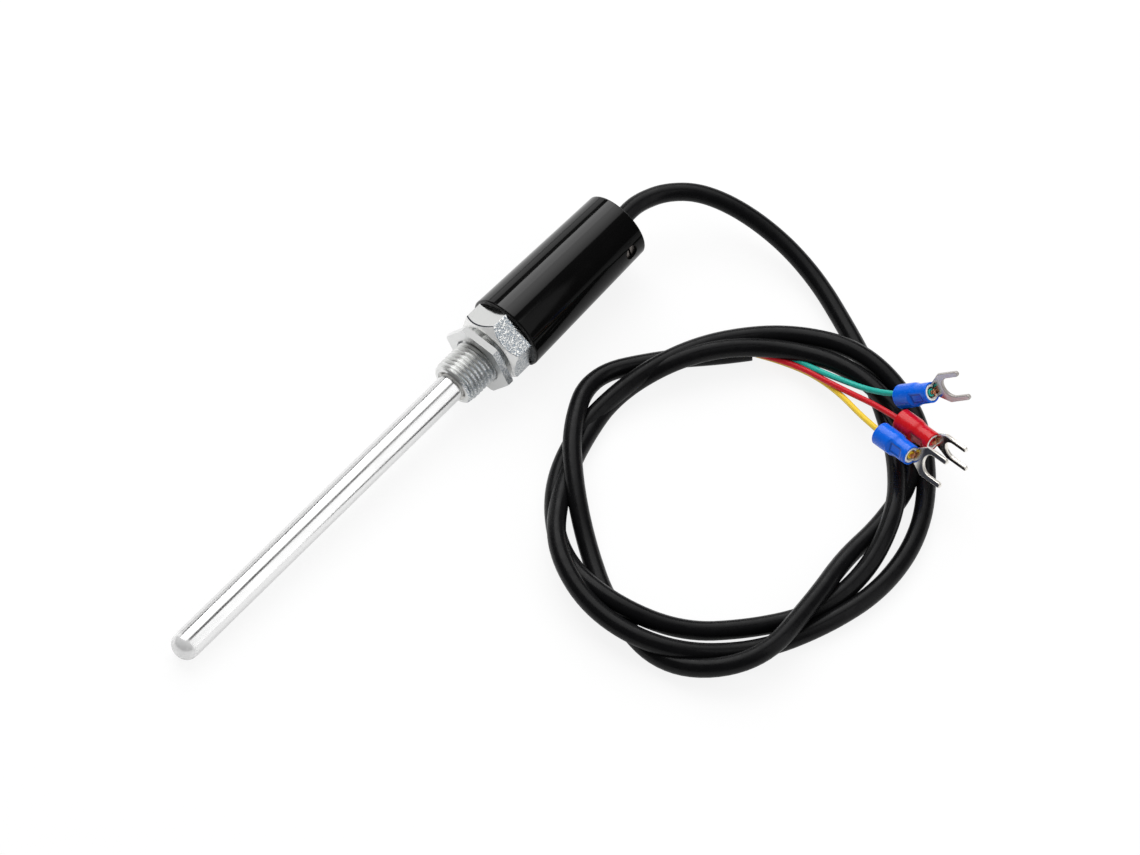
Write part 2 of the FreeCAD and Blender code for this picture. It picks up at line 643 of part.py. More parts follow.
def build():
    """Every piece by its node name, in its place."""
    place = lay_down()
    probe = {
        "sheath_tube": make_sheath(),
        "threaded_fitting": make_fitting(),
        "lock_nut": make_nut(),
        "sealant_bead": make_bead(),
        "housing_sleeve": make_sleeve(),
        "set_screw": make_screw(),
        "sensing_element": make_element(),
        "tip_compound": make_compound(),
        "stem_sleeving": make_sleeving(),
        "stem_seal": make_seal(),
        "cable_entry": make_entry(),
    }
    colours = list(TERMINALS)
    for number in range(WIRE_COUNT):
        probe["stem_wire_%d" % (number + 1)] = make_wire(number)
        probe["splice_sleeve_%d" % (number + 1)] = make_splice(number)
        probe["inner_core_" + colours[number]] = make_core(number)
    pieces = {}
    for name, shape in probe.items():
        pieces[name] = shape.transformed(place.toMatrix(), True)
    pieces["cable_lead"] = make_cable_lead(place)
    pieces["cable_coil"] = make_coil()
    for colour in colours:
        frame = terminal_frame(colour).toMatrix()
        pieces["terminal_sleeve_" + colour] = make_vinyl().transformed(frame, True)
        pieces["terminal_fork_" + colour] = make_fork().transformed(frame, True)
        pieces["conductor_" + colour] = make_conductor().transformed(frame, True)
        pieces["lead_" + colour] = make_lead(colour)
    return pieces


def report_places():
    """Print the places that a mount or a joint needs."""
    place = lay_down()
    tilt = place.Rotation.Angle
    print("nose-down tilt %.4f degrees" % math.degrees(tilt))
    toward_tip = place.Rotation.multVec(vec(-1, 0, 0))
    print("axis toward the tip", [round(c, 6) for c in toward_tip])
    stem_low = TIP + DOME_R
    stem_middle = (stem_low + THREAD_END) / 2
    for name, x in (("stem middle", stem_middle), ("nut front", NUT_FRONT), ("thread end", THREAD_END),
                    ("hexagon face", HEX_FRONT), ("exit", SLEEVE_LENGTH)):
        print(name, [round(c, 4) for c in place.multVec(vec(x, 0, 0))])
    print("free stem length", round(THREAD_END - stem_low, 3))
    slot_x = VINYL_LENGTH + CROTCH + FORK_SLOT
    for colour in TERMINALS:
        frame = terminal_frame(colour)
        middle = frame.multVec(vec(slot_x, 0, TONGUE_THICK / 2 - BARREL_R))
        normal = frame.Rotation.multVec(Z_AXIS)
        print("slot", colour, [round(c, 4) for c in middle], [round(c, 6) for c in normal])


def main():
    """Build every piece and write it to its own file."""
    os.makedirs("parts", exist_ok=True)
    for name, shape in build().items():
        solid = shape.Solids[0] if len(shape.Solids) == 1 else shape
        if len(shape.Solids) != 1 or not solid.isValid():
            print("CHECK", name, "solids", len(shape.Solids), "valid", shape.isValid())
        solid.exportStep("parts/%s.step" % name)
        print("%-24s volume %9.2f mm3" % (name, solid.Volume))
    report_places()


main()
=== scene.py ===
# %% [markdown]
# # A threaded temperature probe with its coiled cable
#
# The probe lies on a table: a bright steel tube, a zinc-plated fitting with a lock nut, a glossy black
# sleeve, and a black cable in three loose turns that ends in three small fork terminals. The hard
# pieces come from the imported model. This lesson adds what that model only hints at: the turns of the
# cable, the thin coloured cores, the pinched vinyl sleeves, the copper strands, and every finish.

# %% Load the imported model
import math
import bpy
import numpy as np
from mathutils import Matrix, Vector


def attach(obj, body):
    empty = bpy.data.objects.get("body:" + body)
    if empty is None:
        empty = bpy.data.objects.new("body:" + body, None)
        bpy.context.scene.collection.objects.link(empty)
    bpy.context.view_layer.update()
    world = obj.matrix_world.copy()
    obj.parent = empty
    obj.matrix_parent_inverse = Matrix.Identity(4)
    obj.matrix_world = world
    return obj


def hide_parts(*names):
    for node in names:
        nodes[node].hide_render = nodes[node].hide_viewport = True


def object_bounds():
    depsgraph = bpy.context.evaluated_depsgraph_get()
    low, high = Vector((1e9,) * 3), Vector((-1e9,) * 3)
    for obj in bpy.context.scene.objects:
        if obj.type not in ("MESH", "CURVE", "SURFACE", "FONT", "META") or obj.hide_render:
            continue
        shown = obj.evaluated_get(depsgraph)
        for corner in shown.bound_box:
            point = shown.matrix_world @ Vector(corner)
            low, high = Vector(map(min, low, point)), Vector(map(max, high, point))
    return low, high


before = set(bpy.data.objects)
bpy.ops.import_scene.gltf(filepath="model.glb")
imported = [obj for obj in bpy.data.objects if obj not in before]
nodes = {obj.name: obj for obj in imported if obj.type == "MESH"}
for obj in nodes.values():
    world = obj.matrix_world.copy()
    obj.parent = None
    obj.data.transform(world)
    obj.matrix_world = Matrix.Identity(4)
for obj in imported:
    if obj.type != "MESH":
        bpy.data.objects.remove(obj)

cad_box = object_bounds()
MM = 0.001
print("pieces in the frame:", len(nodes), "box:", cad_box)

# %% [markdown]
# ## Helpers for new surfaces
#
# Most new pieces here are a ring of points carried along a line, such as a sleeve or a strand. Each is
# a grid: one direction runs along the piece, the other round it. Such a piece could be modelled by hand
# from a cylinder, but working on whole arrays keeps it short and exact. One helper turns any such grid
# into a closed, smooth mesh, and another turns a profile about an axis.

# %% A piece from points and faces
def smooth_piece(name, points, faces, material):
    """A smooth mesh from points in metres and faces that list them, linked to the scene."""
    mesh = bpy.data.meshes.new(name)
    mesh.from_pydata(points.tolist(), [], faces)
    mesh.polygons.foreach_set("use_smooth", np.ones(len(faces), dtype=bool))
    mesh.materials.append(material)
    mesh.update()
    piece = bpy.data.objects.new(name, mesh)
    bpy.context.scene.collection.objects.link(piece)
    print(name, "has", len(points), "points and", len(faces), "faces")
    return piece


# %% A mesh from a grid of points
def grid_mesh(name, points, material, loop_along=False):
    """A surface through a grid of points (rows, columns, 3) in metres, closed round its columns.

    Each face joins the corners (i, j), (i, j+1), (i+1, j+1) and (i+1, j). With loop_along the last row
    joins the first, otherwise each end is closed by one flat face.
    """
    rows, columns, _ = points.shape
    index = np.arange(rows * columns).reshape(rows, columns)
    after = np.roll(index, -1, axis=0) if loop_along else index[1:]
    before = index if loop_along else index[:-1]
    quads = np.stack([before, np.roll(before, -1, axis=1), np.roll(after, -1, axis=1), after], axis=-1)
    faces = quads.reshape(-1, 4).tolist()
    if not loop_along:
        faces.append(index[0, ::-1].tolist())
        faces.append(index[-1].tolist())
    return smooth_piece(name, points.reshape(-1, 3), faces, material)


# %% A profile turned about an axis
def turned(section, steps):
    """A profile of (x, r) pairs turned about the x axis: y is minus r times the sine of the angle and z
    is r times its cosine, for as many angles as steps."""
    angle = np.linspace(0, 2 * np.pi, steps, endpoint=False)
    r = section[:, 1:]
    x = np.broadcast_to(section[:, :1], (len(section), steps))
    return np.stack([x, -r * np.sin(angle), r * np.cos(angle)], axis=-1)


# %% [markdown]
# ## Materials
#
# Every finish is one shader with its plain values on its own sockets, and small patterns in object
# coordinates that change its colour, roughness or bump. Sizes are in metres, so a pattern of half a
# millimetre has a scale of 2000. Photographed textures would slide over such small turned pieces, while
# a pattern in space needs no unwrapping at all.

# %% Shader helpers
def finish(name, colour, roughness, metallic=0.0, specular=0.5):
    """A material with one shader, and its node tree, ready for patterns."""
    material = bpy.data.materials.new(name)
    material.use_nodes = True
    shader = material.node_tree.nodes["Principled BSDF"]
    shader.inputs["Base Color"].default_value = (*colour, 1.0)
    shader.inputs["Roughness"].default_value = roughness
    shader.inputs["Metallic"].default_value = metallic
    shader.inputs["Specular IOR Level"].default_value = specular
    return material


def pattern(material, size, stretch=(1, 1, 1), turn=(0, 0, 0), detail=3.0):
    """Noise about size metres across, in object coordinates, squeezed along each axis by stretch."""
    tree = material.node_tree
    place = tree.nodes.new("ShaderNodeTexCoord")
    mapping = tree.nodes.new("ShaderNodeMapping")
    mapping.vector_type = "TEXTURE"
    mapping.inputs["Rotation"].default_value = turn
    mapping.inputs["Scale"].default_value = [1 / s for s in stretch]
    noise = tree.nodes.new("ShaderNodeTexNoise")
    noise.inputs["Scale"].default_value = 1 / size
    noise.inputs["Detail"].default_value = detail
    tree.links.new(place.outputs["Object"], mapping.inputs["Vector"])
    tree.links.new(mapping.outputs["Vector"], noise.inputs["Vector"])
    return noise.outputs["Fac"]


def ramp(material, source, low, high, value_low, value_high):
    """Source between low and high becomes a number between value_low and value_high."""
    node = material.node_tree.nodes.new("ShaderNodeMapRange")
    node.inputs["From Min"].default_value = low
    node.inputs["From Max"].default_value = high
    node.inputs["To Min"].default_value = value_low
    node.inputs["To Max"].default_value = value_high
    material.node_tree.links.new(source, node.inputs["Value"])
    return node.outputs["Result"]


def drive(material, socket, source):
    """A pattern drives one socket of the shader."""
    tree = material.node_tree
    tree.links.new(source, tree.nodes["Principled BSDF"].inputs[socket])


# %% Sums of patterns and vectors
def times(material, first, second):
    """The product of two patterns."""
    node = material.node_tree.nodes.new("ShaderNodeMath")
    node.operation = "MULTIPLY"
    material.node_tree.links.new(first, node.inputs[0])
    material.node_tree.links.new(second, node.inputs[1])
    return node.outputs[0]


def put(material, socket, value):
    """Links a socket to another node's output, or gives it a plain value."""
    if isinstance(value, bpy.types.NodeSocket):
        material.node_tree.links.new(value, socket)
    else:
        socket.default_value = value


def vector_math(material, operation, first, second, output="Vector"):
    """One vector sum: first is another node's output, second one too or a plain vector."""
    node = material.node_tree.nodes.new("ShaderNodeVectorMath")
    node.operation = operation
    put(material, node.inputs[0], first)
    put(material, node.inputs[1], second)
    return node.outputs[output]


def normal_part(material, axis):
    """How far the surface faces along one axis of the scene, from -1 to 1."""
    facing = material.node_tree.nodes.new("ShaderNodeNewGeometry")
    split = material.node_tree.nodes.new("ShaderNodeSeparateXYZ")
    material.node_tree.links.new(facing.outputs["True Normal"], split.inputs["Vector"])
    return split.outputs[axis]


def toward_side(material, low, high):
    """0 where the surface faces less than low toward -y, rising to 1 where it faces high or more."""
    return ramp(material, normal_part(material, "Y"), -low, -high, 0.0, 1.0)


# %% Colour, bump and slots
def tinted(material, colour, mask, other):
    """Colour where the mask is 0, the other colour where it is 1; either may be a node's output."""
    node = material.node_tree.nodes.new("ShaderNodeMix")
    node.data_type = "RGBA"
    material.node_tree.links.new(mask, node.inputs[0])
    for socket, value in ((node.inputs[6], colour), (node.inputs[7], other)):
        put(material, socket, value if isinstance(value, bpy.types.NodeSocket) else (*value, 1.0))
    return node.outputs[2]


def bump(material, source, depth, strength=1.0):
    """Source raises the surface by up to depth metres."""
    tree = material.node_tree
    node = tree.nodes.new("ShaderNodeBump")
    node.inputs["Strength"].default_value = strength
    node.inputs["Distance"].default_value = depth
    last = tree.nodes["Principled BSDF"].inputs["Normal"]
    if last.is_linked:
        tree.links.new(last.links[0].from_socket, node.inputs["Normal"])
    tree.links.new(source, node.inputs["Height"])
    tree.links.new(node.outputs["Normal"], last)


def dress(material, *names):
    """Gives CAD nodes a finish through their own material slots."""
    print(material.name, "on", *names)
    for name in names:
        piece = nodes[name]
        for slot in piece.material_slots:
            slot.material = material
        if not piece.material_slots:
            piece.data.materials.append(material)


# %% [markdown]
# ## Camera
#
# The photograph looks down at the probe from its front left, from far away through a long lens. The
# camera's place was found by matching the tube, the hexagon and the forks to their places in the
# photograph.

# %% Camera
AIM = Vector((0.02625, -0.0211, 0.0))
LOOK_DOWN = math.radians(55.74)
LOOK_TURN = math.radians(41.19)
CAMERA_AWAY = 0.9
LENS_LENGTH = 141.2
forward = Vector((math.cos(LOOK_DOWN) * math.cos(LOOK_TURN), math.cos(LOOK_DOWN) * math.sin(LOOK_TURN),
                  -math.sin(LOOK_DOWN)))
right = Vector((math.sin(LOOK_TURN), -math.cos(LOOK_TURN), 0.0))
up = right.cross(forward)
lens = bpy.data.cameras.new("camera")
lens.lens = LENS_LENGTH
lens.sensor_width = 36.0
lens.clip_start = 0.01
camera = bpy.data.objects.new("camera", lens)
bpy.context.scene.collection.objects.link(camera)
turn = Matrix((right, up, -forward)).transposed().to_4x4()
camera.matrix_world = Matrix.Translation(AIM - forward * CAMERA_AWAY) @ turn
bpy.context.scene.camera = camera
bpy.context.scene.view_settings.view_transform = "Standard"
print("camera at", camera.matrix_world.translation)

# %% [markdown]
# ## Stage and light
#
# The photograph has a white ground with no edge. The floor is white to the camera and to mirrors, and
# keeps a soft shadow. One large soft lamp overhead draws the broad band on the black sleeve, and two
# weaker ones fill the sides.

# %% White for the camera and for mirrors
def white_to_viewers(tree, shade, white, to_camera, to_mirrors):
    """Mixes plain white light into a shader: one share of it for camera rays, another for mirror and
    glass rays."""
    path = tree.nodes.new("ShaderNodeLightPath")
    mirrored = tree.nodes.new("ShaderNodeMath")
    mirrored.operation = "MAXIMUM"
    part = tree.nodes.new("ShaderNodeMath")
    part.operation = "MULTIPLY"
    part.inputs[1].default_value = to_mirrors
    total = tree.nodes.new("ShaderNodeMath")
    total.operation = "MULTIPLY_ADD"
    total.inputs[1].default_value = to_camera
    mix = tree.nodes.new("ShaderNodeMixShader")
    tree.links.new(path.outputs["Is Glossy Ray"], mirrored.inputs[0])
    tree.links.new(path.outputs["Is Transmission Ray"], mirrored.inputs[1])
    tree.links.new(mirrored.outputs[0], part.inputs[0])
    tree.links.new(path.outputs["Is Camera Ray"], total.inputs[0])
    tree.links.new(part.outputs[0], total.inputs[2])
    tree.links.new(total.outputs[0], mix.inputs[0])
    tree.links.new(shade, mix.inputs[1])
    tree.links.new(white, mix.inputs[2])
    return mix.outputs[0]


# %% Floor
HALF_FLOOR = 30.0
FLOOR_BELOW = 0.1 * MM
WHITE_TO_CAMERA = 0.86
WHITE_TO_MIRRORS = 0.4
floor_finish = bpy.data.materials.new("white_floor")
floor_finish.use_nodes = True
tree = floor_finish.node_tree
shader = tree.nodes["Principled BSDF"]
shader.inputs["Base Color"].default_value = (0.95, 0.95, 0.95, 1.0)
shader.inputs["Roughness"].default_value = 1.0
shader.inputs["Specular IOR Level"].default_value = 0.0
glow = tree.nodes.new("ShaderNodeEmission")
glow.inputs["Strength"].default_value = 1.0
seen = white_to_viewers(tree, shader.outputs["BSDF"], glow.outputs["Emission"],
                        WHITE_TO_CAMERA, WHITE_TO_MIRRORS)
tree.links.new(seen, tree.nodes["Material Output"].inputs["Surface"])
sheet = bpy.data.meshes.new("floor")
sheet.from_pydata([(-HALF_FLOOR, -HALF_FLOOR, 0), (HALF_FLOOR, -HALF_FLOOR, 0), (HALF_FLOOR, HALF_FLOOR, 0),
                   (-HALF_FLOOR, HALF_FLOOR, 0)], [], [(0, 1, 2, 3)])
sheet.materials.append(floor_finish)
floor = bpy.data.objects.new("floor", sheet)
floor.location.z = -FLOOR_BELOW
bpy.context.scene.collection.objects.link(floor)
print("floor reaches", HALF_FLOOR, "m each way")

# %% [markdown]
# ## The room
#
# Mirrors see a white horizon that falls off to nearly black just above it, so that metal gets its dark
# lines, while everything else is lit evenly from all round. A photographed room would light the part
# too, but it would also bring its own things into the reflections.

# %% World
ROOM_LEVEL = 0.45
HORIZON = (0.03, 0.1)
OVERHEAD_DARK = 0.06
world = bpy.data.worlds.new("studio")
bpy.context.scene.world = world
world.use_nodes = True
tree = world.node_tree
room = tree.nodes["Background"]
room.inputs["Color"].default_value = (1.0, 1.0, 1.0, 1.0)
room.inputs["Strength"].default_value = ROOM_LEVEL
backdrop = tree.nodes.new("ShaderNodeBackground")
direction = tree.nodes.new("ShaderNodeTexCoord")
height = tree.nodes.new("ShaderNodeSeparateXYZ")
fade = tree.nodes.new("ShaderNodeMapRange")
fade.interpolation_type = "SMOOTHSTEP"
fade.inputs["From Min"].default_value, fade.inputs["From Max"].default_value = HORIZON
fade.inputs["To Min"].default_value = 1.0
fade.inputs["To Max"].default_value = OVERHEAD_DARK
tree.links.new(direction.outputs["Generated"], height.inputs["Vector"])
tree.links.new(height.outputs["Z"], fade.inputs["Value"])
tree.links.new(fade.outputs["Result"], backdrop.inputs["Strength"])
seen = white_to_viewers(tree, room.outputs["Background"], backdrop.outputs["Background"], 1.0, 1.0)
tree.links.new(seen, tree.nodes["World Output"].inputs["Surface"])
print("room level", ROOM_LEVEL, "horizon fades out between", HORIZON)

# %% Soft lamps
def softbox(name, toward, distance, width, depth, level, fade=1.0):
    """A soft lamp that faces the middle of the scene: toward is its direction from there, width its
    size along the probe, depth its size across it, and level how bright its face is. Its level falls
    evenly across its depth to fade times the level."""
    back = Vector(toward).normalized()
    side = (Vector((1, 0, 0)) - back * back.x).normalized()
    lamp = bpy.data.lights.new(name, "AREA")
    lamp.shape = "RECTANGLE"
    lamp.size = width
    lamp.size_y = depth
    lamp.energy = level * math.pi * width * depth
    box = bpy.data.objects.new(name, lamp)
    turn = Matrix((side, back.cross(side), back)).transposed().to_4x4()
    box.matrix_world = Matrix.Translation(back * distance) @ turn
    box.visible_camera = False
    bpy.context.scene.collection.objects.link(box)
    if fade != 1.0:
        lamp.use_nodes = True
        lamp_tree = lamp.node_tree
        across = lamp_tree.nodes.new("ShaderNodeNewGeometry")
        split = lamp_tree.nodes.new("ShaderNodeSeparateXYZ")
        slope = lamp_tree.nodes.new("ShaderNodeMapRange")
        slope.inputs["To Min"].default_value = fade
        slope.inputs["To Max"].default_value = 1.0
        lamp_tree.links.new(across.outputs["Parametric"], split.inputs["Vector"])
        lamp_tree.links.new(split.outputs["Y"], slope.inputs["Value"])
        lamp_tree.links.new(slope.outputs["Result"], lamp_tree.nodes["Emission"].inputs["Strength"])
    print(name, "lamp,", width, "by", depth, "m, level", level)


softbox("overhead", (0.42, 0.325, 0.847), 1.0, 1.1, 1.02, 4.6, fade=0.22)
softbox("far_side", (0.42, 0.87, 0.25), 1.0, 0.9, 0.3, 0.9)
softbox("near_side", (0.279, -0.782, 0.557), 0.576, 0.23, 0.71, 1.35)

# %% [markdown]
# ## The cable's line
#
# The cable leaves the sleeve, drops to the table in one wide bend and winds clockwise in three loose
# turns that cross each other. A smooth spline has one control point at each sixteenth of a turn, with
# its own distance from the middle of the coil and its own height, because loose turns are never
# round. The heights count in cable diameters: a strand that crosses another is lifted onto it. A
# simulated cable would settle by itself, but it wouldn't settle in the turns that the photograph shows.

# %% Control points of the cable
CABLE_THICK = 3.9 * MM
CABLE_LIFT = 0.03 * MM
COIL_MIDDLE = np.array([36.95, -56.0]) * MM
STATIONS = 16
TURN_RADII = [
    [39.2, 33.5, 31.5, 31.7, 32.4, 33.2, 33.3, 36.7, 38.9, 38.7, 36.5, 34.0, 31.4, 30.5, 33.0, 36.8],
    [38.9, 39.5, 37.6, 37.1, 36.6, 36.3, 38.6, 43.0, 42.7, 39.9, 34.8, 31.9, 31.8, 29.5, 30.2, 32.5],
    [34.2, 35.1, 35.2, 29.4, 26.9, 32.0, 43.6, 45.4, 38.2, 32.8, 32.0, 34.3, 38.2, 33.1, 30.8],
]
TURN_HEIGHTS = [
    [0, 0, 0.4, 1, 0.3, 0, 0, 0.3, 1, 0.2, 0, 0, 0.4, 1, 0.7, 0.5],
    [1, 0.3, 0, 0, 0, 0, 0, 0.9, 0.9, 1, 0.3, 0, 0, 1, 1, 0.6],
    [0.9, 0.9, 0.1, 0, 0.2, 0.9, 1, 0.2, 0, 0, 0.8, 1, 0.3, 0, 0],
]
EXIT = np.array([65.037, 0.0, 10.544]) * MM
EXIT_ROUTE = np.array([
    [68.6, 0.25, 11.3],
    [72.6, -0.2, 11.3],
    [77.6, -2.2, 11.0],
    [82.25, -6.5, 10.3],
    [85.05, -12.7, 9.1],
    [86.8, -20.1, 6.9],
    [87.0, -28.5, 4.7],
    [85.15, -37.8, 2.9],
    [80.95, -47.8, 2.02],
]) * MM
JACKET_END = np.array([63.4, -37.4, 2.2]) * MM
print("coil of", sum(len(turn) for turn in TURN_RADII), "stations")


# %% Points of the coil
def coil_points():
    """One point for each station: an angle of one sixteenth of a turn more each time, clockwise, at the
    station's radius divided by the cosine of half a step, because the curve runs inside its points."""
    radii = np.concatenate([np.array(turn) for turn in TURN_RADII]) * MM
    lifts = np.concatenate([np.array(turn) for turn in TURN_HEIGHTS])
    angle = -2 * np.pi * np.arange(len(radii)) / STATIONS
    reach = radii / np.cos(np.pi / STATIONS)
    x = COIL_MIDDLE[0] + reach * np.cos(angle)
    y = COIL_MIDDLE[1] + reach * np.sin(angle)
    z = CABLE_THICK / 2 + CABLE_LIFT + CABLE_THICK * lifts
    return np.stack([x, y, z], axis=1)


# %% Cords and their length
def spline(name, points, thickness, material, sides=12):
    """A smooth round cord along control points in metres."""
    curve = bpy.data.curves.new(name, "CURVE")
    curve.dimensions = "3D"
    curve.bevel_depth = thickness / 2
    curve.bevel_resolution = sides // 2 - 1
    curve.use_fill_caps = True
    line = curve.splines.new("NURBS")
    line.points.add(len(points) - 1)
    line.points.foreach_set("co", np.hstack([points, np.ones((len(points), 1))]).ravel())
    line.order_u = 3
    line.use_endpoint_u = True
    line.resolution_u = 10
    curve.materials.append(material)
    piece = bpy.data.objects.new(name, curve)
    bpy.context.scene.collection.objects.link(piece)
    return piece


def line_length(points, steps=40):
    """Length of the smooth line: each control point's stretch is a parabola between the middles of its
    two runs, measured as many short steps."""
    middles = (points[1:] + points[:-1]) / 2
    middles[0] = points[0]
    middles[-1] = points[-1]
    s = np.linspace(0, 1, steps)[:, None, None]
    stretch = (1 - s) ** 2 * middles[:-1] + 2 * s * (1 - s) * points[1:-1] + s ** 2 * middles[1:]
    return float(np.linalg.norm(np.diff(stretch, axis=0), axis=2).sum())


# %% Cable jacket and its finish
jacket = finish("cable_jacket", (0.0045, 0.0045, 0.005), 0.3, specular=0.12)
drive(jacket, "Roughness", ramp(jacket, pattern(jacket, 1.5 * MM), 0.35, 0.65, 0.24, 0.36))
bump(jacket, pattern(jacket, 0.5 * MM), 0.02 * MM, 0.5)

cable_line = np.vstack([EXIT[None], EXIT_ROUTE, coil_points(), JACKET_END[None]])
cable = spline("cable", cable_line, CABLE_THICK, jacket)
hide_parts("cable_lead", "cable_coil")
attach(cable, "probe")
cable_length = line_length(cable_line)
print("cable length %.3f m" % cable_length)

# %% [markdown]
# ## The three terminals
#
# Each is a stamped fork whose barrel is pushed over the stripped core and squeezed, inside a coloured
# vinyl sleeve. The sleeve is wide where the core goes in, narrower at its mouth, and the jaws of the
# tool leave two flats. It is a ring of points carried along its axis, whose height and width change
# together where it was squeezed.

# %% Places of the terminals
TERMINALS = {
    "green": ((69.9, -70.6, 10.6), -79.0, 43.5, 77.0),
    "red": ((65.55, -74.1, 10.6), -96.2, 9.4, 87.0),
    "yellow": ((60.3, -73.1, 10.6), -98.0, 12.6, 63.0),
}
VINYL_LENGTH = 9.0
BARREL_R = 1.7
print("terminals:", *TERMINALS)


def terminal_matrix(colour):
    """The place of one terminal: its x axis points to the fork, turned by yaw, then pitch, then roll."""
    rear, yaw, pitch, roll = TERMINALS[colour]
    spin = Matrix.Rotation(math.radians(yaw), 4, "Z") @ Matrix.Rotation(math.radians(-pitch), 4, "Y")
    spin = spin @ Matrix.Rotation(math.radians(roll), 4, "X")
    return Matrix.Translation(Vector(rear) * MM) @ spin


def placed(points, matrix):
    """Points in metres on the terminal's own axes, moved to its place."""
    turn = np.array(matrix.to_3x3())
    return points @ turn.T + np.array(matrix.translation)


# %% Vinyl sleeves
# Radii at the wire's end and at the mouth; the place and softness of the step between them; the middle
# and half length of the squeezed stretch, half its thickness and how far it opens past its ends; the
# depth of the jaws' marks and half their width, all in millimetres; and the marks' share of the squeezed
# length. The corner between round and flat is the sharper, the higher the power of the blend.
VINYL = {"rear": 2.45, "mouth": 2.1, "flare_at": 5.1, "flare_run": 0.22, "jaw_at": 6.1, "jaw_half": 1.95,
         "flat": 1.86, "open": 0.9, "mark": 0.1, "mark_half": 0.85, "mark_share": 0.68}
BLEND = 36
LEAST_COSINE = 0.2


def vinyl_sleeve(colour, material):
    """A tube whose radius falls from rear to mouth in one smooth step. The jaws leave two flats: there
    the radius is the smaller of the round one and the flat's distance over the cosine of the angle,
    which isn't let under its least value. A mark is pressed a little deeper into each flat, and its rim
    is kept as a value for the finish. Both ends are rounded."""
    outer_x = np.concatenate([[0.0, 0.03, 0.12], np.linspace(0.3, 8.8, 110), [8.93, 9.0]])
    step = 1 / (1 + np.exp((outer_x - VINYL["flare_at"]) / VINYL["flare_run"]))
    outer_r = VINYL["mouth"] + (VINYL["rear"] - VINYL["mouth"]) * step
    outer_r[:2] -= (0.14, 0.07)
    outer_r[-2:] -= (0.04, 0.12)
    inner_x = np.array([8.98, 8.7, 7.0, 4.2, 2.0, 0.2, 0.02])
    inner_r = np.array([1.78, 1.73, 1.73, 1.76, 1.8, 1.86, 2.0])
    x = np.concatenate([outer_x, inner_x])[:, None]
    r = np.concatenate([outer_r, inner_r])[:, None]
    angle = np.linspace(0, 2 * np.pi, 120, endpoint=False)[None, :]
    off_jaw = np.abs(x - VINYL["jaw_at"]) / VINYL["jaw_half"]
    level = VINYL["flat"] + VINYL["open"] * (1 - 1 / (1 + off_jaw ** 12))
    cosine = np.maximum(np.abs(np.cos(angle)), LEAST_COSINE)
    plane = level / cosine
    width = np.tan(np.arccos(cosine)) * VINYL["flat"]
    mark = 1 / (1 + (off_jaw / VINYL["mark_share"]) ** 16) / (1 + (width / VINYL["mark_half"]) ** 10)
    radius = (r ** -BLEND + plane ** -BLEND) ** (-1 / BLEND) - VINYL["mark"] * mark
    radius[len(outer_x):] = r[len(outer_x):]
    mark[len(outer_x):] = 0
    points = np.stack([np.broadcast_to(x, radius.shape), -radius * np.sin(angle), radius * np.cos(angle)],
                      axis=-1) * MM
    sleeve = grid_mesh("vinyl_" + colour, placed(points, terminal_matrix(colour)), material, loop_along=True)
    rim = sleeve.data.attributes.new("mark_rim", "FLOAT", "POINT")
    rim.data.foreach_set("value", (4 * mark * (1 - mark)).ravel())
    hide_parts("terminal_sleeve_" + colour)
    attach(sleeve, "probe")
    return sleeve


# %% Finish of the vinyl
def vinyl_finish(name, colour):
    """Glossy soft plastic with a faint unevenness, darker along the rim of each jaw mark."""
    material = finish(name, colour, 0.25, specular=0.3)
    rim = material.node_tree.nodes.new("ShaderNodeAttribute")
    rim.attribute_name = "mark_rim"
    shade = ramp(material, rim.outputs["Fac"], 0.1, 0.9, 0.0, 0.75)
    drive(material, "Base Color", tinted(material, colour, shade, tuple(0.35 * part for part in colour)))
    drive(material, "Roughness", ramp(material, pattern(material, 0.8 * MM), 0.3, 0.7, 0.18, 0.3))
    bump(material, pattern(material, 0.9 * MM), 0.03 * MM, 0.5)
    return material


blue_vinyl = vinyl_finish("blue_vinyl", (0.0, 0.125, 0.74))
red_vinyl = vinyl_finish("red_vinyl", (0.60, 0.006, 0.012))
sleeves = {
    "green": vinyl_sleeve("green", blue_vinyl),
    "red": vinyl_sleeve("red", red_vinyl),
    "yellow": vinyl_sleeve("yellow", blue_vinyl),
}

# %% [markdown]
# ## Copper strands
#
# In each mouth the stripped wires stand in the cut end of the insulation, and some of them are bent back
# over it. At this size a dab of copper colour would do from afar, but the photograph shows single
# wires, so each is a small tube along its own line.

# %% Copper strands in the mouths
copper = finish("copper_strands", (0.78, 0.36, 0.2), 0.3, metallic=1.0)
drive(copper, "Roughness", ramp(copper, pattern(copper, 0.3 * MM), 0.3, 0.7, 0.22, 0.45))
# The side that the folded wires lie on, as an angle round the terminal's axis. Then, in millimetres:
# where the fold begins, how far it reaches and its distance from the axis; where the folded wires end;
# where the straight ones start and end and how far six of them stand from the middle one.
FOLD_TURN = {"green": 3.6, "red": 3.2, "yellow": 3.3}
FOLD = {"at": 8.9, "reach": 0.34, "r": 0.28, "end": 6.0}
STRAIGHT = {"start": 8.3, "end": 9.05, "r": 0.25}
WIRE_THICK = 0.24


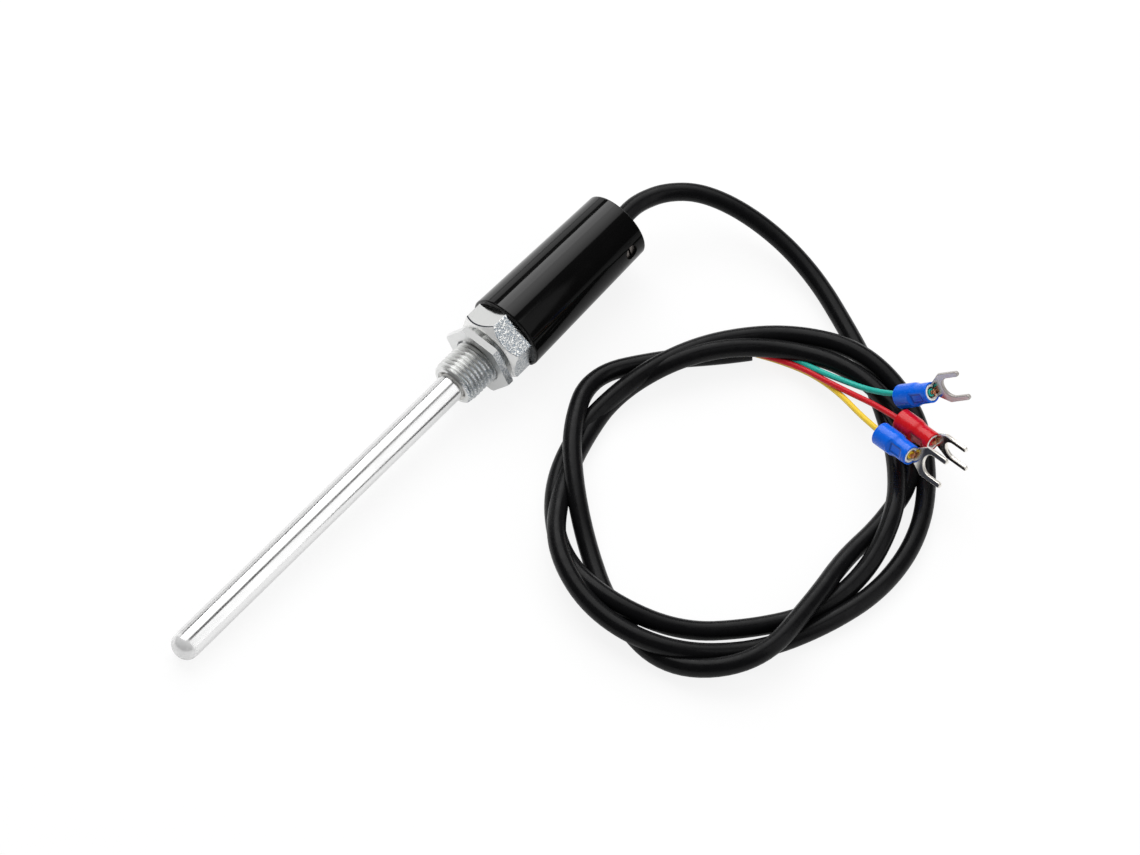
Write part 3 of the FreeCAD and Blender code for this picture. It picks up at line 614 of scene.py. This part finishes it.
def strand_tubes(x, r, turn, thick):
    """Round wires whose middle lines lie in planes through the terminal's axis: x and r hold one row of
    places for each wire, turn its plane's angle. Each ring stands across its line's direction."""
    out = np.stack([np.zeros_like(turn), np.sin(turn), np.cos(turn)], axis=-1)[:, None, :]
    side = np.stack([np.zeros_like(turn), np.cos(turn), -np.sin(turn)], axis=-1)[:, None, :]
    ahead = np.array([1.0, 0.0, 0.0])
    run_x = np.gradient(x, axis=1)
    run_r = np.gradient(r, axis=1)
    size = np.hypot(run_x, run_r)
    normal = (-run_r / size)[..., None] * ahead + (run_x / size)[..., None] * out
    centre = x[..., None] * ahead + r[..., None] * out
    spin = np.linspace(0, 2 * np.pi, 8, endpoint=False)[:, None]
    ring = thick / 2 * (np.cos(spin) * side[:, :, None, :] + np.sin(spin) * normal[:, :, None, :])
    return centre[:, :, None, :] + ring


def strands(colour):
    """The core's copper wires: seven stand in the insulation's cut end, and six bend over its rim in a
    half circle and run back along it inside the barrel."""
    wobble = np.sin(np.arange(7) * 2.4 + len(colour))
    bow = np.linspace(-np.pi / 2, np.pi / 2, 8)[None, :]
    reach = (FOLD["reach"] + 0.04 * wobble[:6])[:, None]
    x = FOLD["at"] + reach * np.cos(bow)
    r = FOLD["r"] + reach * (1 + np.sin(bow))
    back_x = np.linspace(8.6, FOLD["end"], 5)[None, :] + 0 * reach
    back_r = np.broadcast_to(r[:, -1:], back_x.shape)
    folded = strand_tubes(np.hstack([x, back_x]), np.hstack([r, back_r]),
                          FOLD_TURN[colour] + np.linspace(-0.8, 0.8, 6) + 0.1 * wobble[:6], WIRE_THICK)
    share = np.linspace(0, 1, 13)
    straight_x = np.linspace(STRAIGHT["start"], STRAIGHT["end"], 13)[None, :] + 0.08 * wobble[:, None] * share
    straight_r = np.array([0.0] + [STRAIGHT["r"]] * 6)[:, None] + 0 * straight_x
    straight = strand_tubes(straight_x, straight_r, np.arange(7) * np.pi / 3, WIRE_THICK)
    points = np.concatenate([folded, straight]) * MM
    vertices = placed(points.reshape(-1, 3), terminal_matrix(colour))
    index = np.arange(len(vertices)).reshape(points.shape[:3])
    before, after = index[:, :-1], index[:, 1:]
    quads = np.stack([before, np.roll(before, -1, axis=2), np.roll(after, -1, axis=2), after], axis=-1)
    faces = quads.reshape(-1, 4).tolist() + index[:, -1].tolist() + index[:, 0, ::-1].tolist()
    piece = smooth_piece("strands_" + colour, vertices, faces, copper)
    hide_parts("conductor_" + colour)
    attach(piece, "probe")
    return piece


copper_pieces = {colour: strands(colour) for colour in TERMINALS}

# %% [markdown]
# ## Forks
#
# The tongue is stamped from tinned sheet. It is one closed outline with a small round on its edges, so
# its rim catches the light: a bevel modifier could round it too, but six stacked outlines keep the round
# even at the narrow tines. The tongue hangs on the barrel, a short tube whose mouth shows as a bright
# ring inside the vinyl.

# %% Outline of a fork
# Half widths of the tongue, its slot and its neck, the tongue's length and the slot's start past the
# vinyl's mouth, the length of the slope from neck to shoulder, how far the neck reaches into the vinyl,
# the sheet's thickness and the radius of its edges, in millimetres.
FORK = {"half": 3.25, "slot": 2.15, "neck": 1.45, "length": 8.0, "crotch": 2.4, "shoulder": 2.9,
        "inside": 0.3, "thick": 0.8, "edge": 0.16}


def fork_outline():
    """Corners of the tongue, anticlockwise: neck, shoulder, a half circle round each tine's end, and
    the slot's half circle between the tines."""
    mouth = VINYL_LENGTH - FORK["inside"]
    tine = (FORK["half"] - FORK["slot"]) / 2
    tine_y = FORK["slot"] + tine
    end_x = VINYL_LENGTH + FORK["length"] - tine
    slot_x = VINYL_LENGTH + FORK["crotch"] + FORK["slot"]
    bend = np.linspace(-np.pi / 2, np.pi / 2, 13)
    round_end = np.stack([end_x + tine * np.cos(bend), tine * np.sin(bend)], axis=1)
    round_slot = np.stack([slot_x - FORK["slot"] * np.cos(bend), FORK["slot"] * np.sin(bend)], axis=1)
    return np.vstack([
        [[mouth, -FORK["neck"]], [mouth + FORK["shoulder"], -FORK["half"]]],
        round_end - [0, tine_y],
        round_slot,
        round_end + [0, tine_y],
        [[mouth + FORK["shoulder"], FORK["half"]], [mouth, FORK["neck"]]],
    ])


# %% Tongue and barrel
def fork_tongue(colour, material):
    """The outline at six levels, drawn in near both faces as a quarter circle would: by its radius at the
    face, by about a third of that a third of the way down, and by nothing past it."""
    outline = fork_outline()
    ahead = np.roll(outline, -1, axis=0) - outline
    ahead /= np.linalg.norm(ahead, axis=1, keepdims=True)
    along = ahead + np.roll(ahead, 1, axis=0)
    along /= np.linalg.norm(along, axis=1, keepdims=True)
    outward = np.stack([along[:, 1], -along[:, 0]], axis=1)
    half, edge = FORK["thick"] / 2, FORK["edge"]
    levels = [(-half, edge), (-half + 0.05, 0.05), (-half + edge, 0.0),
              (half - edge, 0.0), (half - 0.05, 0.05), (half, edge)]
    rings = [np.column_stack([outline - inset * outward, np.full(len(outline), z + half - BARREL_R)])
             for z, inset in levels]
    tongue = grid_mesh("tongue_" + colour, placed(np.array(rings) * MM, terminal_matrix(colour)), material)
    smooth = np.ones(len(tongue.data.polygons), dtype=bool)
    smooth[-2:] = False
    tongue.data.polygons.foreach_set("use_smooth", smooth)
    return tongue


def fork_barrel(colour, material):
    """A ring profile turned about the terminal's axis, rounded at the mouth."""
    section = np.array([(4.4, BARREL_R), (8.7, BARREL_R), (8.88, 1.66), (8.97, 1.56), (8.97, 1.3),
                        (8.9, 1.2), (8.75, 1.15), (4.4, 1.15)])
    points = placed(turned(section, 48) * MM, terminal_matrix(colour))
    return grid_mesh("barrel_" + colour, points, material, loop_along=True)


# %% Tin plate
def tin_finish(colour, face, rim, metal):
    """Tin plate: one colour on the pressed faces of the tongue, another on its rim, told apart by how
    far the surface faces along the tongue's own upright axis. Near the barrel it is a clear mirror."""
    material = finish("tin_" + colour, rim, 0.28, metallic=0.6)
    tree = material.node_tree
    matrix = terminal_matrix(colour)
    ahead = matrix.to_3x3() @ Vector((1.0, 0.0, 0.0))
    upright = matrix.to_3x3() @ Vector((0.0, 0.0, 1.0))
    place = tree.nodes.new("ShaderNodeTexCoord").outputs["Object"]
    along = vector_math(material, "DOT_PRODUCT", place, ahead, "Value")
    root = ahead.dot(matrix.translation) + VINYL_LENGTH * MM
    mirror = ramp(material, along, root + 0.8 * MM, root + 2.2 * MM, 1.0, 0.0)
    drive(material, "Metallic", ramp(material, mirror, 0.0, 1.0, metal, 1.0))
    drive(material, "Roughness", ramp(material, mirror, 0.0, 1.0, 0.28, 0.12))
    facing = tree.nodes.new("ShaderNodeNewGeometry").outputs["True Normal"]
    flatness = vector_math(material, "DOT_PRODUCT", facing, upright, "Value")
    pressed = ramp(material, flatness, 0.93, 0.99, 0.0, 1.0)
    dull = ramp(material, mirror, 0.0, 1.0, 1.0, 0.25)
    drive(material, "Base Color", tinted(material, rim, times(material, pressed, dull), face))
    bump(material, pattern(material, 2.5 * MM, detail=1.0), 0.02 * MM, 0.3)
    return material


TIN = {
    "green": ((0.68, 0.65, 0.65), (0.40, 0.37, 0.35), 0.15),
    "red": ((0.035, 0.03, 0.035), (0.86, 0.83, 0.77), 0.6),
    "yellow": ((0.04, 0.042, 0.055), (0.86, 0.83, 0.77), 0.6),
}
forks = {}
for colour, (face, rim, metal) in TIN.items():
    tin = tin_finish(colour, face, rim, metal)
    bright = finish("barrel_" + colour, (0.9, 0.89, 0.87), 0.3, metallic=0.3)
    forks[colour] = [fork_tongue(colour, tin), fork_barrel(colour, bright)]
    for piece in forks[colour]:
        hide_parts("terminal_fork_" + colour)
        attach(piece, "probe")

# %% [markdown]
# ## The three cores
#
# Past the end of the jacket the cores run on by themselves, thin and a little springy, side by side
# over the coil and up into their sleeves. Each is a spline of its own that starts inside the jacket's
# end, because the photograph shows each of them bend in its own way.

# %% Routes and colours of the cores
# Each route is followed by a straight stretch in front of the vinyl sleeve, and the core ends inside it,
# both in millimetres along the terminal's axis.
LEAD_ROUTES = {
    "green": [(64.6, -37.3, 2.6), (66.8, -43.6, 3.2), (67.2, -53.8, 5.3)],
    "red": [(63.2, -38.8, 2.9), (66.1, -45.7, 3.3), (66.4, -57.3, 5.2)],
    "yellow": [(63.8, -38.2, 1.5), (66.9, -45.2, 1.4), (67.0, -55.9, 3.4)],
}
LEAD_RUNUP = {"green": 3.0, "red": 3.0, "yellow": 2.5}
CORE_THICK = 1.2 * MM
CORE_IN = 8.75
CORE_COLOURS = {"green": (0.02, 0.42, 0.35), "red": (0.58, 0.010, 0.02), "yellow": (0.84, 0.58, 0.045)}


# %% Cut end of the insulation
def cut_end(colour, material):
    """The insulation's cut end, a little swollen round the bared wires: a ring profile turned about the
    terminal's axis."""
    section = np.array([(8.0, 0.62), (8.4, 0.76), (8.75, 0.8), (8.86, 0.74), (8.88, 0.55), (8.8, 0.4),
                        (8.0, 0.38)])
    points = placed(turned(section, 24) * MM, terminal_matrix(colour))
    ring = grid_mesh("cut_end_" + colour, points, material, loop_along=True)
    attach(ring, "probe")
    return ring


# %% Cords
for colour, route in LEAD_ROUTES.items():
    insulation = finish("core_" + colour, CORE_COLOURS[colour], 0.32, specular=0.25)
    drive(insulation, "Roughness", ramp(insulation, pattern(insulation, 1.2 * MM), 0.3, 0.7, 0.26, 0.38))
    matrix = terminal_matrix(colour)
    ends = np.array([(-LEAD_RUNUP[colour], 0.0, 0.0), (CORE_IN, 0.0, 0.0)]) * MM
    line = np.vstack([np.array(route) * MM, placed(ends, matrix)])
    lead = spline("core_" + colour, line, CORE_THICK, insulation, sides=10)
    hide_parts("lead_" + colour)
    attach(lead, "probe")
    collar = cut_end(colour, insulation)
    line_length(line)
    print(colour, "core length %.4f m" % line_length(line))

# %% [markdown]
# ## Finishes of the hard pieces
#
# The tube is ground steel: bright, with fine lines along it. The fitting and the nut are zinc-plated,
# whose surface is a patchwork of tiny crystals that reflect a little differently from each other. The
# sleeve is glossy black and almost a mirror, so it shows the lamps as clear bands.

# %% Steel tube
TILT = math.radians(3.3766)
steel = finish("stem_steel", (0.80, 0.80, 0.80), 0.2, metallic=1.0)
drawn = pattern(steel, 0.5 * MM, stretch=(0.03, 1, 1), turn=(0, TILT, 0), detail=2.0)
cloudy = pattern(steel, 4.0 * MM, stretch=(0.3, 1, 1), turn=(0, TILT, 0), detail=3.0)
drive(steel, "Roughness", ramp(steel, cloudy, 0.35, 0.65, 0.18, 0.25))
bump(steel, drawn, 0.006 * MM, 0.5)
bump(steel, cloudy, 0.03 * MM, 0.4)
dress(steel, "sheath_tube")

# %% [markdown]
# ## Dome of the tube
#
# The dome is spun over the tube's end and left a little satin, so it shows the light of the whole room
# where the ground tube mirrors one lamp. It is the same piece as the tube, so its finish changes by
# place along the probe instead of by a second material.

# %% Satin dome of the tube
DOME_LENGTH = 3.0 * MM
DOME_START = cad_box[0][0] + DOME_LENGTH
steel_place = steel.node_tree.nodes.new("ShaderNodeTexCoord")
steel_axes = steel.node_tree.nodes.new("ShaderNodeSeparateXYZ")
steel.node_tree.links.new(steel_place.outputs["Object"], steel_axes.inputs["Vector"])
satin = ramp(steel, steel_axes.outputs["X"], DOME_START - 0.5 * MM, DOME_START + 0.1 * MM, 0.25, 1.0)
drive(steel, "Metallic", satin)
print("dome starts at x =", DOME_START)

# %% [markdown]
# ## Zinc-plated fitting and nut
#
# Both are turned from hexagon bar and plated in a bath. Each grain of the zinc has its own tone, the
# edges are soft, and the chamfer toward the thread is brighter than the flats. Extra geometry could carry
# the soft edges, but a finish placed by the distance along and from the probe's axis leaves the solids
# as they are.

# %% Places along the probe's axis
# They count from the sleeve's front face toward the cable. The small rim of the hexagon's chamfer and
# the radius of its soft edges are in metres too.
TILT_AXES = np.array([[math.cos(TILT), 0, math.sin(TILT)], [0, 1, 0], [-math.sin(TILT), 0, math.cos(TILT)]])
FRONT_TO_EXIT = 34.5 * MM
PROBE_START = EXIT - FRONT_TO_EXIT * TILT_AXES[0]
HEX_FRONT = -5.6 * MM
CHAMFER_R = 6.6 * MM
EDGE_ROUND = 0.3 * MM
print("sleeve's front face at", PROBE_START)


# %% Masks of the hexagon
def hexagon_masks(material):
    """Four masks from the place along the probe's axis (x), the distance from it (r) and the normal. All
    of the hexagon is where x is past its face. Its chamfer is the part whose normal leans toward the
    tip. The rolled edge is a strip of the far facet, where x minus r is 0.02 to 0.42 mm more than it is
    on the small rim of the chamfer. The last one is whatever faces straight up."""
    tree = material.node_tree
    axis = Vector(TILT_AXES[0])
    place = tree.nodes.new("ShaderNodeTexCoord").outputs["Object"]
    facing = tree.nodes.new("ShaderNodeNewGeometry").outputs["True Normal"]
    local = vector_math(material, "SUBTRACT", place, Vector(PROBE_START))
    x = vector_math(material, "DOT_PRODUCT", local, axis, "Value")
    along = tree.nodes.new("ShaderNodeVectorMath")
    along.operation = "SCALE"
    along.inputs[0].default_value = axis
    tree.links.new(x, along.inputs["Scale"])
    across = vector_math(material, "SUBTRACT", local, along.outputs["Vector"])
    length = tree.nodes.new("ShaderNodeVectorMath")
    length.operation = "LENGTH"
    tree.links.new(across, length.inputs[0])
    depth = tree.nodes.new("ShaderNodeMath")
    depth.operation = "SUBTRACT"
    tree.links.new(x, depth.inputs[0])
    tree.links.new(length.outputs["Value"], depth.inputs[1])
    hexagon = ramp(material, x, HEX_FRONT - 0.02 * MM, HEX_FRONT, 0.0, 1.0)
    lean = vector_math(material, "DOT_PRODUCT", facing, -axis, "Value")
    chamfer = times(material, hexagon, times(material, ramp(material, lean, 0.3, 0.5, 0.0, 1.0),
                                             ramp(material, lean, 0.9, 0.8, 0.0, 1.0)))
    edge = HEX_FRONT - CHAMFER_R
    strip = times(material, ramp(material, depth.outputs[0], edge + 0.02 * MM, edge + 0.08 * MM, 0.0, 1.0),
                  ramp(material, depth.outputs[0], edge + 0.42 * MM, edge + 0.3 * MM, 0.0, 1.0))
    far_facet = ramp(material, normal_part(material, "Y"), 0.2, 0.3, 0.0, 1.0)
    rolled = times(material, times(material, strip, hexagon), far_facet)
    upward = ramp(material, normal_part(material, "Z"), 0.8, 0.95, 0.0, 1.0)
    return hexagon, chamfer, rolled, upward


# %% Zinc plating
def zinc_finish(name, colour, speckle, share):
    """Bright metal, nearly smooth, with a crystalline patchwork on the sides that the bath hung on: its
    colour and level change from grain to grain there, by share of the full effect. Edges of the hexagon
    are softly rounded, its chamfer is brighter and its rolled edge darker. Off the hexagon the metal is
    a little rougher and duller, most of all where it faces straight up to the lamp."""
    material = finish(name, colour, 0.2, metallic=1.0)
    hexagon, chamfer, rolled, upward = hexagon_masks(material)
    edges = material.node_tree.nodes.new("ShaderNodeBevel")
    put(material, edges.inputs["Radius"], ramp(material, hexagon, 0.0, 1.0, 0.0, EDGE_ROUND))
    drive(material, "Normal", edges.outputs["Normal"])
    plain = ramp(material, chamfer, 0.0, 1.0, share, 0.0)
    grain = ramp(material, pattern(material, speckle, detail=6.0), 0.42, 0.6, 1.0, 0.0)
    spots = times(material, times(material, grain, plain), toward_side(material, 0.2, 0.5))
    dull = times(material, upward, ramp(material, hexagon, 0.0, 1.0, 0.62, 0.0))
    look = tinted(material, colour, dull, (0.0, 0.0, 0.0))
    look = tinted(material, look, spots, (0.26, 0.30, 0.34))
    look = tinted(material, look, chamfer, (0.93, 0.93, 0.92))
    look = tinted(material, look, rolled, (0.01, 0.016, 0.03))
    drive(material, "Base Color", look)
    metal = times(material, ramp(material, chamfer, 0.0, 1.0, 1.0, 0.25),
                  ramp(material, hexagon, 0.0, 1.0, 0.82, 1.0))
    drive(material, "Metallic", metal)
    drive(material, "Roughness", ramp(material, hexagon, 0.0, 1.0, 0.28, 0.18))
    bump(material, spots, 0.03 * MM, 0.5)
    bump(material, pattern(material, 1.5 * MM, detail=2.0), 0.02 * MM, 0.35)
    return material


dress(zinc_finish("plated_fitting", (0.76, 0.765, 0.755), 0.3 * MM, 1.0), "threaded_fitting")
dress(zinc_finish("plated_nut", (0.74, 0.745, 0.74), 0.3 * MM, 0.8), "lock_nut")

# %% [markdown]
# ## Mouth of the fitting
#
# The thread's end is countersunk round the tube, and light caught in that cone makes a pale ring. The
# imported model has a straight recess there, so that a mating part can slide up to it; this thin ring
# only fills the recess to the eye.

# %% Mouth of the fitting
THREAD_END_MM = -16.2


def mouth_ring(material):
    """The countersunk mouth round the tube: a ring profile turned about the probe's axis."""
    section = np.array([(0.1, 3.66), (0.14, 3.6), (0.34, 3.12), (0.9, 3.06), (0.9, 3.66)])
    local = turned(section + [THREAD_END_MM, 0], 96) * MM
    ring = grid_mesh("fitting_mouth", PROBE_START + local @ TILT_AXES, material, loop_along=True)
    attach(ring, "probe")


mouth_ring(finish("mouth_zinc", (0.84, 0.83, 0.8), 0.3, metallic=0.35))

# %% [markdown]
# ## Black sleeve and grub screw
#
# The sleeve is moulded and comes glossy out of a polished mould: black, nearly a mirror, and a little
# wavy from shrinking. Its shine is lower on the side toward the coil, where the photograph shows only a
# faint band. The grub screw in its side is plain dark steel.

# %% Black sleeve and screw
gloss_black = finish("sleeve_black", (0.003, 0.003, 0.003), 0.07, specular=0.3)
drive(gloss_black, "Roughness", ramp(gloss_black, pattern(gloss_black, 6 * MM), 0.35, 0.65, 0.05, 0.1))
bump(gloss_black, pattern(gloss_black, 3 * MM, stretch=(0.4, 1, 1), detail=2.0), 0.02 * MM, 0.3)
edge = ramp(gloss_black, toward_side(gloss_black, 0.28, 0.5), 0.0, 1.0, 0.3, 0.08)
drive(gloss_black, "Specular IOR Level", edge)
dress(gloss_black, "housing_sleeve")

screw_steel = finish("screw_steel", (0.14, 0.125, 0.115), 0.38, metallic=1.0)
bump(screw_steel, pattern(screw_steel, 0.2 * MM), 0.01 * MM, 0.5)
dress(screw_steel, "set_screw")

# %% [markdown]
# ## Adhesive bead
#
# Black adhesive holds the sleeve on the fitting, and a little of it stands out all round as a wavy bead.
# It could be sculpted, but sums of sines of the angle give an uneven ring that closes on itself.

# %% Adhesive bead
adhesive = finish("sealant", (0.006, 0.006, 0.006), 0.4, specular=0.4)
bump(adhesive, pattern(adhesive, 0.6 * MM), 0.05 * MM, 0.6)
dress(adhesive, "stem_seal")
BEAD_R = 8.0


def bead(material):
    """A wavy ring round the probe's axis in front of the sleeve: its distance from the axis and its
    thickness rise and fall as sums of sines of the angle."""
    around = np.linspace(0, 2 * np.pi, 300, endpoint=False)[:, None]
    across = np.linspace(0, 2 * np.pi, 12, endpoint=False)[None, :]
    wave = 0.5 * np.sin(7 * around + 1) + 0.3 * np.sin(13 * around + 4) + 0.25 * np.sin(29 * around)
    thick = 0.24 + 0.11 * wave
    reach = BEAD_R + 0.08 * np.sin(5 * around + 2) + thick * np.cos(across)
    x = 0.02 - thick * np.sin(across)
    local = np.stack([x, reach * np.cos(around), reach * np.sin(around)], axis=-1) * MM
    ring = grid_mesh("adhesive_bead", PROBE_START + local @ TILT_AXES, material, loop_along=True)
    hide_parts("sealant_bead")
    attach(ring, "probe")


bead(adhesive)

# %% [markdown]
# ## Inner pieces
#
# Nothing of the inside shows, but the pieces have to look right when the probe is opened: the cable's
# own end and cores, a white ceramic element in grey compound, white wires in woven glass sleeving, and
# black shrunk sleeves over the joints. Plain finishes with a small bump are enough for them.

# %% Ends of the cable inside the sleeve
dress(jacket, "cable_entry")
for colour in TERMINALS:
    dress(bpy.data.materials["core_" + colour], "inner_core_" + colour)

# %% Element, wires and joints
ceramic = finish("ceramic", (0.88, 0.87, 0.84), 0.6)
bump(ceramic, pattern(ceramic, 0.3 * MM), 0.01 * MM, 0.4)
dress(ceramic, "sensing_element")
compound = finish("compound", (0.68, 0.68, 0.66), 0.8)
bump(compound, pattern(compound, 0.4 * MM), 0.03 * MM, 0.6)
dress(compound, "tip_compound")
white_wire = finish("wire_insulation", (0.88, 0.88, 0.86), 0.35)
bump(white_wire, pattern(white_wire, 0.5 * MM), 0.01 * MM, 0.4)
dress(white_wire, "stem_wire_1", "stem_wire_2", "stem_wire_3")
glass_sleeving = finish("glass_sleeving", (0.84, 0.82, 0.76), 0.7)
bump(glass_sleeving, pattern(glass_sleeving, 0.25 * MM, stretch=(0.5, 1, 1)), 0.04 * MM, 0.8)
dress(glass_sleeving, "stem_sleeving")
shrunk = finish("splice_sleeve", (0.03, 0.03, 0.03), 0.45)
bump(shrunk, pattern(shrunk, 0.8 * MM), 0.03 * MM, 0.5)
dress(shrunk, "splice_sleeve_1", "splice_sleeve_2", "splice_sleeve_3")

# %% [markdown]
# ## Hand over
#
# The two boxes tell whether the dressed part still has the size of the model it was built on.

# %% Sizes and finish
print("cad box", cad_box)
